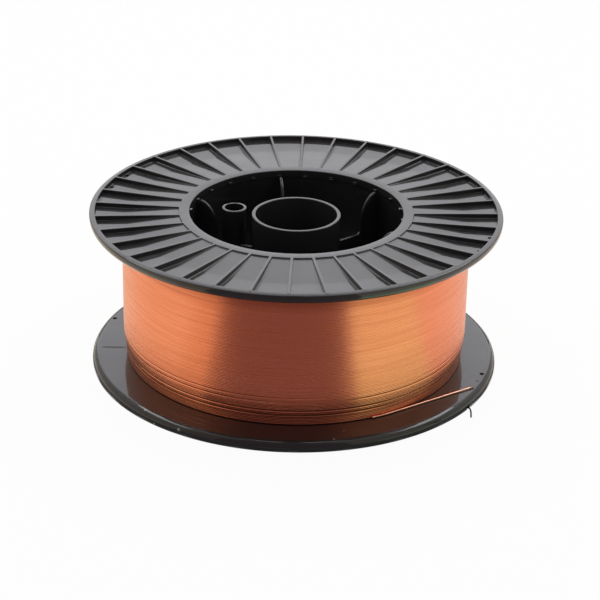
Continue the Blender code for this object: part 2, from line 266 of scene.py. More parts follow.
def repeated(part: Object, name: str, sizes: dict[str, int | float | Material],
             place: Callable[[Adder, Inputs, Node], Node]) -> Object:
    """Repeats a part in a Geometry Nodes tree of its own, and keeps the result as a plain mesh.

    Args:
        part: The part, which is removed.
        name: The name of the tree and of the new object.
        sizes: The tree's inputs by name: Count, the number of copies, Finish, their material, and more.
        place: Puts the copies in their places. It takes what adds a node, the tree's inputs and the node
            that makes the copies, and returns its last node.

    Returns:
        The copies as one plain object.
    """
    tree = bpy.data.node_groups.new(name, "GeometryNodeTree")
    add = partial(add_node, tree)
    for way in ("INPUT", "OUTPUT"):
        tree.interface.new_socket("Geometry", in_out=way, socket_type="NodeSocketGeometry")
    modifier = part.modifiers.new(name, "NODES")
    values = {}
    for label, value in {**sizes, "Merge Distance": MERGE}.items():
        socket = tree.interface.new_socket(label, in_out="INPUT", socket_type=SOCKETS[type(value)])
        values[socket.identifier] = value
    given = dict(add("NodeGroupInput").outputs.items())
    whole = add("GeometryNodeGeometryToInstance", (given["Geometry"],))
    copies = add("GeometryNodeDuplicateElements", {"Geometry": whole, "Amount": given["Count"]},
                 domain="INSTANCE")
    real = add("GeometryNodeRealizeInstances", (place(add, given, copies),))
    merged = add("GeometryNodeMergeByDistance", {"Geometry": real, "Distance": given["Merge Distance"]})
    dressed = add("GeometryNodeSetMaterial", {"Geometry": merged, "Material": given["Finish"]})
    add("NodeGroupOutput", (dressed,))
    modifier.node_group = tree
    for identifier, value in values.items():
        modifier[identifier] = value
    return plain_copy(part, name)


def ringed(part: Object, name: str, count: int, start: float, finish: Material) -> Object:
    """Repeats a part round the spool's axis.

    Args:
        part: The part at azimuth 0, which is removed.
        name: The new object's name.
        count: How many copies there are.
        start: The first copy's azimuth.
        finish: Their material.

    Returns:
        The ring of copies as one plain object.
    """
    def place(add: Adder, given: Inputs, copies: Node) -> Node:
        """Adds the nodes that turn each copy to its azimuth, and returns the last."""
        number = copies.outputs["Duplicate Index"]
        step = add(MATHS, (math.tau, given["Count"]), operation="DIVIDE")
        turn = add(MATHS, (number, step, given["Start Angle"]), operation="MULTIPLY_ADD")
        angles = add(COMBINE, {"Z": turn})
        return add("GeometryNodeRotateInstances", {"Instances": copies, "Rotation": angles})

    return repeated(part, name, {"Count": count, "Start Angle": start, "Finish": finish}, place)


@dataclass(frozen=True)
class MouldedPlastic:
    """Black styrene, injection-moulded against a polished steel tool.

    To the eye it is near black with a thin, clear skin that mirrors the studio sharply but faintly, over
    a body with a soft haze. Slow waves where the melt flowed bend the mirror images a little. A few
    pale nicks and one scored line are what handling leaves.
    """

    name: str = "moulded_black_styrene"
    dark: str = "#151517"
    light: str = "#1d1d1f"
    scuff: str = "#9b9c98"
    score: str = "#020202"
    roughness: float = 0.42
    roughest: float = 0.54
    ior: float = 1.42
    skin: float = 1.0
    skin_roughness: float = 0.045
    haze: float = 0.28
    scuff_core: float = 0.4
    scuff_cover: float = 0.8
    scuff_roughness: float = 0.4
    score_edge: tuple[float, float] = (0.7, 1.2)
    score_skin: float = 0.35
    # Pattern sizes in millimetres. The real grain is too fine to show, so it is drawn this coarse.
    flow_mark: float = 26.0
    ripple: float = 7.0
    grain: float = 0.5
    ripple_strength: float = 0.14
    ripple_height: float = 0.05 * MM
    grain_strength: float = 0.10
    grain_height: float = 0.01 * MM

    def material(self, scuffs: tuple[tuple[Point, float], ...] = (),
                 scores: tuple[tuple[Point, Point], ...] = ()) -> Material:
        """Builds the finish.

        Args:
            scuffs: Small pale nicks, each a place and its radius in metres.
            scores: Fine dark lines in the skin, each a middle and its half lengths along each axis.

        Returns:
            The material.
        """
        made, add = new_material(self.name)
        place = add("ShaderNodeTexCoord").outputs["Object"]
        flow = add(NOISE, {
            "Vector": place, "Scale": 1000 / self.flow_mark, "Detail": 4.0, "Roughness": 0.6,
        })
        shade = add(BLEND, {0: flow, 6: linear(self.dark), 7: linear(self.light)}, data_type="RGBA")
        matt = add(RANGE, (flow, *NOISE_SPAN, self.roughness, self.roughest))
        for centre, radius in scuffs:
            away = add(VECTORS, (place, centre), operation="DISTANCE")
            worn_or_shaded = add(RANGE, (away, radius, radius * self.scuff_core, 0.0, self.scuff_cover))
            shade = add(BLEND, {0: worn_or_shaded, 6: shade, 7: linear(self.scuff)}, data_type="RGBA")
            matt = add(MATHS, (worn_or_shaded, self.scuff_roughness, matt), operation="MULTIPLY_ADD")
        coat = self.skin
        for middle, reach in scores:
            away = add(VECTORS, (place, middle), operation="SUBTRACT")
            inside = add(VECTORS, (away, reach), operation="DIVIDE")
            spread = add(SPLIT, (add(VECTORS, (inside,), operation="ABSOLUTE"),))
            wide = add(MATHS, (spread.outputs["X"], spread.outputs["Y"]), operation="MAXIMUM")
            widest = add(MATHS, (wide, spread.outputs["Z"]), operation="MAXIMUM")
            bare = add(RANGE, (widest, *self.score_edge, self.score_skin, 1.0))
            coat = add(MATHS, (coat, bare), operation="MULTIPLY")
            shade = add(BLEND, {0: bare, 6: linear(self.score), 7: shade}, data_type="RGBA")
        ripples = add(NOISE, {"Vector": place, "Scale": 1000 / self.ripple, "Detail": 2.0})
        grains = add(NOISE, {"Vector": place, "Scale": 1000 / self.grain, "Detail": 1.0})
        wavy = add(BUMP, {
            "Height": ripples, "Strength": self.ripple_strength, "Distance": self.ripple_height,
        })
        fine = add(BUMP, {
            "Height": grains, "Strength": self.grain_strength, "Distance": self.grain_height, "Normal": wavy,
        })
        shader = add("ShaderNodeBsdfPrincipled", {
            "Base Color": shade, "Roughness": matt, "Normal": fine, "IOR": self.ior,
            "Specular IOR Level": self.haze, "Coat Weight": coat, "Coat Roughness": self.skin_roughness,
            "Coat IOR": self.ior, "Coat Normal": wavy,
        })
        add("ShaderNodeOutputMaterial", (shader,))
        return made


@dataclass(frozen=True)
class CopperedWire:
    """Steel wire with a bright copper coat, drawn through a die.

    To the eye it is a satin metal. Each round turn draws the studio out into upright bands of light and
    dark, and fine draw marks along the wire keep those bands from having sharp edges. Painted shade
    darkens the colour where the turns lie in the flanges' shade, and a painted shadow can darken an end.
    """

    name: str = "copper_coated_steel_wire"
    bright: str = "#f49f7b"
    deep: str = "#de8058"
    # Colours of the painted shadow on a loose end and of the painted shade near the flanges.
    painted_shadow: str = "#2c2523"
    painted_shade: str = "#94492f"
    roughness: float = 0.22
    roughest: float = 0.32
    # Pattern sizes in millimetres. Real draw marks are far finer than a turn, and are drawn a turn high.
    streak_height: float = 1.1
    streak_length: float = 60.0

    def material(self, shaded_heights: tuple[tuple[float, float, float], ...] = (),
                 shadowed_past: float = 0.0) -> Material:
        """Builds the finish.

        Args:
            shaded_heights: Heights between which shade is painted into the colour, each as where it is
                unshaded, where it is fully shaded, and how strong the painted shade is.
            shadowed_past: Distance from the axis past which a dark painted shadow covers the colour, or 0 for
                nowhere.

        Returns:
            The material.
        """
        made, add = new_material(self.name)
        place = add("ShaderNodeTexCoord").outputs["Object"]
        along, across = 1000 / self.streak_length, 1000 / self.streak_height
        drawn = add("ShaderNodeMapping", {"Vector": place, "Scale": (along, along, across)})
        streaks = add(NOISE, {"Vector": drawn, "Scale": 1.0, "Detail": 3.0})
        shade = add(BLEND, {0: streaks, 6: linear(self.bright), 7: linear(self.deep)}, data_type="RGBA")
        height = add(SPLIT, (place,)).outputs["Z"]
        shadings = [(height, *heights, self.painted_shade) for heights in shaded_heights]
        if shadowed_past:
            level = add(VECTORS, (place, (1.0, 1.0, 0.0)), operation="MULTIPLY")
            away = add(VECTORS, (level,), operation="LENGTH")
            shadings.append((away, shadowed_past, shadowed_past + 0.5 * MM, 1.0, self.painted_shadow))
        # Painted shade near the flanges and painted shadow past the rim: each darkens the colour from where
        # it starts.
        for where, unshaded, worn_or_shaded, most, colour in shadings:
            shade_amount = add(RANGE, (where, unshaded, worn_or_shaded, 0.0, most))
            shade = add(BLEND, {0: shade_amount, 6: shade, 7: linear(colour)}, data_type="RGBA")
        matt = add(RANGE, (streaks, *NOISE_SPAN, self.roughness, self.roughest))
        shader = add("ShaderNodeBsdfPrincipled", {"Base Color": shade, "Roughness": matt, "Metallic": 1.0})
        add("ShaderNodeOutputMaterial", (shader,))
        return made


def finished(piece: Object, finish: Material, nodes: tuple[str, ...],
             edges: bool = True) -> None:
    """Shades a finished piece smooth, dresses it and puts it on the spool.

    Args:
        piece: The piece, a plain mesh at the origin.
        finish: Its material.
        nodes: The solids that it stands for.
        edges: Whether its sharp edges stay sharp.
    """
    piece.data.materials.clear()
    piece.data.materials.append(finish)
    piece.data.shade_smooth()
    if edges:
        piece.data.set_sharp_from_angle(angle=SHARP_ANGLE)
    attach(piece, BODY)
    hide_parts(*nodes)
    LOG.info("%s: %d faces, stands for %s", piece.name, len(piece.data.polygons), ", ".join(nodes))


# The play of the upper flange on the barrel, and of the winding and the wire's end beside the plastic.
CLEARANCE = 0.3 * MM
# The tenon on the barrel's end, which sits in a groove of the upper flange.
TENON_WALL, TENON_HEIGHT = 1.9 * MM, 3.0 * MM
# A pocket's wall: how far it is down at each distance into the pocket, as a share of the depth.
POCKET_WALL = (
    (-0.30 * MM, 0.0), (-0.11 * MM, 0.015), (0.0, 0.07), (0.05 * MM, 0.20),
    (0.17 * MM, 0.80), (0.30 * MM, 0.95), (0.52 * MM, 1.0), (0.80 * MM, 1.0),
)


@dataclass
class RibbedFlange:
    """A flange with a ring, radial ribs and a rim on its open face, and with what its section carries on."""

    face: Face
    open_face: float
    radius: float
    opening: float
    first_rib: float
    thickness: float = 6.7 * MM
    ring_width: float = 6.6 * MM
    rim_width: float = 3.6 * MM
    face_fall: float = 1.6 * MM
    fall_margin: float = 0.4 * MM
    rib_count: int = 36
    rib_thickness: float = 1.6 * MM
    step_depth: float = 0.8 * MM
    level_depth: float = 2.9 * MM
    level_length: float = 19.6 * MM
    rim_fall: float = 0.0
    open_rounding: float = 0.6 * MM
    wire_rounding: float = 4.4 * MM
    ring_rounding: float = 0.45 * MM
    knee: float = 0.04
    wall: tuple[tuple[float, float], ...] = POCKET_WALL

    @property
    def ring_outer(self) -> float:
        """Radius of the ring's outer edge, where the pockets start."""
        return self.opening + self.ring_width

    @property
    def rim_inner(self) -> float:
        """Radius of the rim's inner edge, where the pockets end."""
        return self.radius - self.rim_width

    @property
    def wire_side_stop(self) -> float:
        """Radius of a point on the wire side between the rim's rounding and the barrel."""
        return self.radius * 0.85

    def fall(self, radius: float) -> float:
        """Returns how far the open face lies inside the rim's level at this radius."""
        start, end = self.rim_inner + self.fall_margin, self.ring_outer - self.fall_margin
        return self.face_fall * min(max((start - radius) / (start - end), 0.0), 1.0)

    def floor_depth(self, radius: float) -> float:
        """Returns a pocket's depth at this radius: a step, a slope with a soft knee, then level."""
        slope_end = self.rim_inner - self.level_length
        share, knee = (radius - self.ring_outer) / (slope_end - self.ring_outer), self.knee
        if share > 1 - knee:
            over = min((share - 1 + knee) / (2 * knee), 1.0)
            share = 1 - knee + 2 * knee * (over - over * over / 2)
        return self.step_depth + (self.level_depth - self.step_depth) * share

    def pocket_rows(self) -> Section:
        """Returns the rows across the pockets, each as a radius and its share of the depth."""
        slope_end = self.rim_inner - self.level_length
        inner = [(self.ring_outer + away, share) for away, share in self.wall]
        outer = [(self.rim_inner - away, share) for away, share in reversed(self.wall)]
        start, end = inner[-1][0], outer[0][0]
        knee = self.knee * (slope_end - self.ring_outer)
        stops = [start + (slope_end - knee - start) * i / 5 for i in range(1, 6)]
        stops += [slope_end, slope_end + knee]
        stops += [slope_end + knee + (end - slope_end - knee) * i / 4 for i in range(1, 4)]
        return inner + [(stop, 1.0) for stop in stops] + outer

    def edge_rows(self) -> Section:
        """Returns the rim from its land round to the wire side, as radius and depth below the open face."""
        # A rim that falls towards its edge meets the rounding a little further round.
        start = -82 if self.rim_fall else -90
        top = arc((self.radius - self.open_rounding, self.rim_fall + self.open_rounding),
                  self.open_rounding, start, 0, 5)
        under = arc((self.radius - self.wire_rounding, self.thickness - self.wire_rounding),
                    self.wire_rounding, 0, 90, 12)
        return top + under

    def columns(self) -> list[tuple[int, float, float]]:
        """Returns the columns of one sector, each as a side, a distance into the pocket and a share."""
        half = self.rib_thickness / 2
        near = [(0, 0.0, 0.0)] + [(0, half + away, share) for away, share in self.wall]
        far = [(1, half + away, share) for away, share in reversed(self.wall)] + [(1, 0.0, 0.0)]
        return near + [(2, share, 1.0) for share in (0.25, 0.5, 0.75)] + far

    def sector(self, carried_on: Section) -> Object:
        """Makes the part of the flange from the middle of one rib to the middle of the next.

        Args:
            carried_on: The section from the wire side back to the opening, as radius and depth.

        Returns:
            The sector at azimuth 0.
        """
        pitch = math.tau / self.rib_count
        half, reach = self.rib_thickness / 2, self.wall[-1][0]
        inner_edge = arc((self.opening + self.ring_rounding, self.ring_rounding),
                         self.ring_rounding, -180, -90, 4)
        plain_start = [(r, depth + self.face_fall, 0.0) for r, depth in inner_edge]
        pockets = [(r, self.fall(r), share) for r, share in self.pocket_rows()]
        plain_end = [(r, depth, 0.0) for r, depth in self.edge_rows() + carried_on]
        rows = []
        for radius, depth, row_share in plain_start + pockets + plain_end:
            row = []
            first = math.asin((half + reach) / radius)
            for side, away, share in self.columns():
                if side == 2:
                    turn = first + (pitch - 2 * first) * away
                else:
                    turn = abs(side * pitch - math.asin(away / radius))
                deep = depth + (self.floor_depth(radius) * row_share * share if row_share else 0.0)
                row.append(polar(radius, turn, self.open_face - self.face.value * deep))
            rows.append(row)
        return lofted(rows + rows[:1], "flange_sector", False, False)

    def moulding(self, carried_on: Section, name: str, finish: Material) -> Object:
        """Makes the whole flange from its sectors.

        Args:
            carried_on: The section from the wire side back to the opening, as radius and depth.
            name: The object's name.
            finish: The material.

        Returns:
            The closed moulding.
        """
        sector = self.sector(carried_on)
        return joined([ringed(sector, name + "_ribs", self.rib_count, self.first_rib, finish)], name)


@dataclass(frozen=True)
class WireHoles:
    """The holes for the wire's end in a flange, with the notch and the dimple of the lower one."""

    circle: float
    radius: float = 1.5 * MM
    azimuths: tuple[float, ...] = (-26.5 * DEG, -16.5 * DEG, 153.5 * DEG, 163.5 * DEG)
    dimple_azimuth: float = -21.5 * DEG
    dimple_radius: float = 0.9 * MM
    dimple_depth: float = 0.25 * MM
    notch_azimuth: float = -33.3 * DEG
    notch_width: float = 2.1 * MM
    notch_height: float = 3.4 * MM
    notch_reach: float = 6.0 * MM
    margin: float = 2.0 * MM
    sides: int = 20

    def pin(self, azimuth: float, radius: float, low: float, high: float) -> Object:
        """Returns a round cutter that stands on the hole circle."""
        centre = polar(self.circle, azimuth)
        rows = [
            [centre + polar(radius, math.tau * i / self.sides, height) for i in range(self.sides)]
            for height in (low, high)
        ]
        return lofted(rows, "hole_cutter", True, True)

    def cutters(self, low: float, high: float) -> Object:
        """Makes the cutter of the four holes.

        Args:
            low: The flange's lower face.
            high: The flange's upper face.

        Returns:
            The cutter as one object.
        """
        pins = [self.pin(a, self.radius, low - self.margin, high + self.margin) for a in self.azimuths]
        return joined(pins, "wire_hole_cutter")

    def lower_cutters(self, flange_radius: float, thickness: float) -> Object:
        """Makes the cutter of the lower flange, with the notch and the dimple.

        Args:
            flange_radius: The flange's radius.
            thickness: The flange's thickness.

        Returns:
            The cutter as one object.
        """
        dimple = self.pin(self.dimple_azimuth, self.dimple_radius, thickness - self.dimple_depth,
                          thickness + self.margin)
        out = polar(1.0, self.notch_azimuth)
        across = polar(self.notch_width / 2, self.notch_azimuth + math.pi / 2)
        rows = []
        for reach in (flange_radius - self.notch_reach, flange_radius + self.margin):
            corners = ((-1, -self.margin), (1, -self.margin), (1, self.notch_height), (-1, self.notch_height))
            rows.append([out * reach + across * side + Vector((0, 0, z)) for side, z in corners])
        notch = lofted(rows, "notch_cutter", True, True)
        return joined([self.cutters(0.0, thickness), dimple, notch], "lower_cutter")


@dataclass
class UpperFlange:
    """The flange that is pressed onto the barrel's end, with its snap lugs and wire holes."""

    flange: RibbedFlange
    holes: WireHoles
    barrel_radius: float
    lug_count: int = 24
    lug_azimuth: float = 10.5 * DEG
    lug_width: float = 2.6 * MM
    lug_height: float = 1.5 * MM
    lug_reach: float = 1.25 * MM
    lug_root: float = 0.6 * MM
    lug_drop: float = 4.4 * MM
    lug_rounding: float = 0.25 * MM

    def underside(self) -> Section:
        """Returns the section from the wire side round the tenon's groove to the opening."""
        thick, outer = self.flange.thickness, self.barrel_radius + CLEARANCE
        inner, deep = self.barrel_radius - TENON_WALL - CLEARANCE, thick - TENON_HEIGHT
        return [
            (self.flange.wire_side_stop, thick), (outer, thick), (outer, deep), (inner, deep),
            (inner, thick), (self.flange.opening, thick),
        ]

    def lug(self) -> Object:
        """Makes one snap lug with its lead-in slope, at azimuth 0."""
        high = self.flange.open_face - self.lug_drop
        inner = self.flange.opening - self.lug_reach
        outer = self.flange.opening + self.lug_root
        low, soft = high - self.lug_height, self.lug_rounding
        section = [
            (outer, high), (inner + soft, high), (inner + soft * 0.3, high - soft * 0.3),
            (inner, high - soft), (inner, low + soft * 2), (inner + soft * 1.6, low), (outer, low),
        ]
        rows = [[(r, y, z) for r, z in section] for y in (-self.lug_width / 2, self.lug_width / 2)]
        return lofted(rows, "snap_lug", True, True)

    def build(self, finish: Material) -> None:
        """Builds, dresses and places the upper flange."""
        body = self.flange.moulding(self.underside(), "upper_flange", finish)
        high = self.flange.open_face
        body = boolean(body, self.holes.cutters(high - self.flange.thickness, high), "DIFFERENCE")
        lugs = ringed(self.lug(), "snap_lugs", self.lug_count, self.lug_azimuth, finish)
        piece = joined([body, lugs], "upper_flange")
        finished(piece, finish, ("top_flange",))


@dataclass
class SpoolBody:
    """The moulding of lower flange, barrel, webs, hub tube and drive-pin tube."""

    flange: RibbedFlange
    holes: WireHoles
    width: float
    barrel_radius: float
    barrel_end: float
    barrel_foot_rounding: float = 0.6 * MM
    bore_radius: float = 25.9 * MM
    hub_wall: float = 2.4 * MM
    hub_recess: float = 4.2 * MM
    hub_rounding: float = 0.5 * MM
    web_count: int = 6
    web_azimuth: float = 39.5 * DEG
    web_thickness: float = 2.4 * MM
    web_root: float = 0.8 * MM
    web_rounding: float = 1.15 * MM
    web_rounded_past: float = 60 * DEG
    web_gap: float = 0.4 * MM
    web_start: float = 66.7 * MM
    web_recess: float = 4.9 * MM
    web_corner_length: float = 14.0 * MM
    web_corner_drop: float = 20.0 * MM
    web_corner_steps: int = 14
    web_recess_at_hub: float = 31.8 * MM
    web_foot_rounding: float = 3.0 * MM
    drive_hole: float = 6.2 * MM
    drive_wall: float = 1.8 * MM
    drive_circle: float = 44.5 * MM
    drive_azimuth: float = 154.5 * DEG
    drive_recess: float = 8.4 * MM
    drive_sides: int = 48
    cutter_rounding: float = 0.02 * MM
    cutter_margin: float = 1.0 * MM
    round_steps: int = 160

    @property
    def hub_radius(self) -> float:
        """Radius of the hub tube's outside."""
        return self.bore_radius + self.hub_wall

    def barrel_section(self) -> Section:
        """Returns the section from the wire side up the barrel and down its inside."""
        inner = self.barrel_radius - TENON_WALL
        tip = self.barrel_end + TENON_HEIGHT
        thick, soft = self.flange.thickness, self.barrel_foot_rounding
        corner = arc((self.barrel_radius + soft, thick + soft), soft, 270, 180, 3)
        return [
            (self.flange.wire_side_stop, thick), *corner, (self.barrel_radius, tip), (inner, tip),
            (inner, self.barrel_end), (self.flange.opening, self.barrel_end),
            (self.flange.opening, self.width * 0.5),
        ]

    def hub(self) -> Object:
        """Makes the hub tube, upright with soft edges."""
        soft, outside, bore = self.hub_rounding, self.hub_radius, self.bore_radius
        low, high = self.hub_recess + soft, self.width - self.hub_recess - soft
        section = [
            *arc((outside - soft, low), soft, -90, 0, 4), *arc((outside - soft, high), soft, 0, 90, 4),
            *arc((bore + soft, high), soft, 90, 180, 4), *arc((bore + soft, low), soft, 180, 270, 4),
        ]
        return turned(section, "hub", self.round_steps)

    def web(self) -> Object:
        """Makes one web with soft edges, high and rounded at the barrel and deep at the hub, at azimuth 0."""
        inner, outer = self.hub_radius - self.web_root, self.flange.opening + self.web_root
        opening, length = self.flange.opening, self.web_corner_length
        at_barrel = self.width - self.barrel_end + self.web_gap
        first = math.asin((opening - self.web_start) / length)
        edge, steps = [(outer, at_barrel), (self.web_start, at_barrel)], self.web_corner_steps
        for i in range(steps + 1):
            turn = first + (math.pi / 2 - first) * i / steps
            recess = self.web_recess + self.web_corner_drop * (1 - math.cos(turn))
            edge.append((opening - length * math.sin(turn), recess))
        soft = self.web_foot_rounding
        edge += arc((opening - length - soft, self.web_recess_at_hub - soft), soft, 0, 90, 5)
        edge.append((inner, self.web_recess_at_hub))
        outline = [(r, self.width - recess) for r, recess in edge] + edge[::-1]
        half = self.web_thickness / 2
        web = lofted([[(r, y, z) for r, z in outline] for y in (-half, half)], "plain_web", True, True)
        bevel = web.modifiers.new("soft_edges", "BEVEL")
        bevel.width, bevel.segments = self.web_rounding, 3
        bevel.limit_method, bevel.angle_limit = "ANGLE", self.web_rounded_past
        return plain_copy(web, "web")

    def centre(self, finish: Material) -> Object:
        """Makes the hub tube, the webs and the drive-pin tube as one closed mesh.

        Args:
            finish: The material.

        Returns:
            The joined middle of the moulding.
        """
        webs = ringed(self.web(), "webs", self.web_count, self.web_azimuth, finish)
        hub = boolean(self.hub(), webs, "UNION")
        shift = polar(self.drive_circle, self.drive_azimuth)
        turns = [math.tau * i / self.drive_sides for i in range(self.drive_sides)]
        for radius, soft, recess, operation in (
            (self.drive_hole + self.drive_wall, self.hub_rounding, self.drive_recess, "UNION"),
            (self.drive_hole, self.cutter_rounding, -self.cutter_margin, "DIFFERENCE"),
        ):
            low, high = recess + soft, self.width - recess - soft
            section = arc((radius - soft, low), soft, -90, 0, 4) + arc((radius - soft, high), soft, 0, 90, 4)
            rows = [[shift + polar(r, turn, z) for turn in turns] for r, z in section]
            hub = boolean(hub, lofted(rows, "drive_part", True, True), operation)
        return hub

    def build(self, finish: Material) -> None:
        """Builds, dresses and places the body."""
        body = self.flange.moulding(self.barrel_section(), "spool_moulding", finish)
        cutter = self.holes.lower_cutters(self.flange.radius, self.flange.thickness)
        body = boolean(body, cutter, "DIFFERENCE")
        piece = joined([body, self.centre(finish)], "spool_moulding")
        finished(piece, finish, ("spool_body",))


@dataclass
class Winding:
    """The wound wire: a closed ring whose outside shows each turn and whose ends show each layer."""

    low: float
    high: float
    bore: float
    radius: float
    wire: float = 1.0 * MM
    around: int = 180
    per_turn: int = 4
    visible_arc: float = 92.0 * DEG
    end_groove: float = 0.3 * MM
    swell: float = 1.75 * MM
    swell_height: float = 21.0 * MM
    unevenness: float = 0.03 * MM
    looseness: float = 0.20 * MM
    sinking_span: tuple[float, float] = (0.40, 0.56)
    wander_scale: float = 1.3
    wander_step: float = 0.83
    loose_turns: tuple[int, ...] = (6, 9, 15, 18, 77, 84, 86, 88)
    seed: int = 7

    @property
    def turns(self) -> int:
        """How many turns lie side by side in the outer layer."""
        return round((self.high - self.low) / self.wire)

    @property
    def pitch(self) -> float:
        """The height from one turn to the next."""
        return (self.high - self.low) / self.turns

    @property
    def edge(self) -> float:
        """Radius at which the outside meets the ends."""
        return self.radius - self.wire / 2 * (1 - math.cos(self.visible_arc / 2))

    def ends(self) -> Object:
        """Makes the bore and the two ends, with a groove in every other layer."""
        layers = round((self.edge - self.bore) / self.wire)
        step = (self.edge - self.bore) / layers
        grooves = [(self.bore + step * (i - 0.5), self.end_groove * (i % 2)) for i in range(1, layers + 1)]
        section = [
            (self.edge, self.low), *((r, self.low + deep) for r, deep in reversed(grooves)),
            (self.bore, self.low), (self.bore, self.high), *((r, self.high - deep) for r, deep in grooves),
            (self.edge + self.swell, self.high),
        ]
        return turned(section, "winding_ends", self.around, closed=False)

    def lowest_turn(self) -> Object:
        """Makes the side of the lowest turn that shows.

        Returns:
            The open band. Its attribute "slack" is 0 where the turn touches its neighbours and 1 between.
        """
        half = self.visible_arc / 2
        bends = [half * (2 * i / self.per_turn - 1) for i in range(self.per_turn + 1)]
        section = [
            (self.radius + self.wire / 2 * (math.cos(bend) - 1),
             self.low + self.pitch / 2 * (1 + math.sin(bend) / math.sin(half)))
            for bend in bends
        ]
        band = turned(section, "lowest_turn", self.around, closed=False)
        slack = band.data.attributes.new("slack", "FLOAT", "POINT")
        for point, share in zip(band.data.vertices, slack.data):
            rise = 2 * (point.co.z - self.low) / self.pitch - 1
            share.value = 1 - abs(math.asin(rise * math.sin(half)) / half) ** 6
        return band

    def place(self, add: Adder, given: Inputs, copies: Node) -> Node:
        """Adds the nodes that stack the turns, swell the winding and let some turns sink in places.

        Args:
            add: Adds a node to the tree.
            given: The tree's inputs.
            copies: The node that makes the copies.

        Returns:
            The last node.
        """
        number = copies.outputs["Duplicate Index"]
        pitch = add(COMBINE, {"Z": given["Pitch"]})
        rise = add(VECTORS, (number, pitch), operation="MULTIPLY")
        stacked = add("GeometryNodeTranslateInstances", {"Instances": copies, "Translation": rise})
        real = add("GeometryNodeRealizeInstances", (stacked,))
        at = add("GeometryNodeInputPosition")
        height = add(SPLIT, (at,)).outputs["Z"]
        swelling = add(RANGE, (height, given["Low"], given["Swell Top"], 0.0, given["Swell"]),
                       interpolation_type="SMOOTHERSTEP")
        level = add(VECTORS, (at, (1.0, 1.0, 0.0)), operation="MULTIPLY")
        outward = add(VECTORS, (level,), operation="NORMALIZE")
        wander_at = add(VECTORS, (number, (0.0, 0.0, self.wander_step), outward), operation="MULTIPLY_ADD")
        wander = add(NOISE, {"Vector": wander_at, "Scale": self.wander_scale, "Detail": 1.0})
        sinking = add(RANGE, (wander, *self.sinking_span, 0.0, given["Looseness"]))
        loose = 0.0
        for turn in self.loose_turns:
            same = add(MATHS, (number, float(turn), 0.1), operation="COMPARE")
            loose = add(MATHS, (loose, same), operation="ADD")
        chance = add("FunctionNodeRandomValue", {"ID": number, "Seed": given["Seed"]}, data_type="FLOAT")
        uneven = add(MATHS, (chance, given["Unevenness"]), operation="MULTIPLY")
        lower = add(MATHS, (sinking, loose, uneven), operation="MULTIPLY_ADD")
        slack = add("GeometryNodeInputNamedAttribute", ("slack",), data_type="FLOAT")
        inward = add(MATHS, (lower, slack), operation="MULTIPLY")
        out = add(MATHS, (swelling, inward), operation="SUBTRACT")
        offset = add(VECTORS, {0: outward, "Scale": out}, operation="SCALE")
        return add("GeometryNodeSetPosition", {"Geometry": real, "Offset": offset})

    def build(self, finish: Material) -> None:
        """Builds, dresses and places the winding."""
        sizes = {
            "Count": self.turns, "Seed": self.seed, "Pitch": self.pitch, "Low": self.low,
            "Swell": self.swell, "Swell Top": self.low + self.swell_height,
            "Unevenness": self.unevenness, "Looseness": self.looseness, "Finish": finish,
        }
        turns = repeated(self.lowest_turn(), "wound_turns", sizes, self.place)
        piece = joined([turns, self.ends()], "wound_wire")
        finished(piece, finish, ("wire_winding",), edges=False)


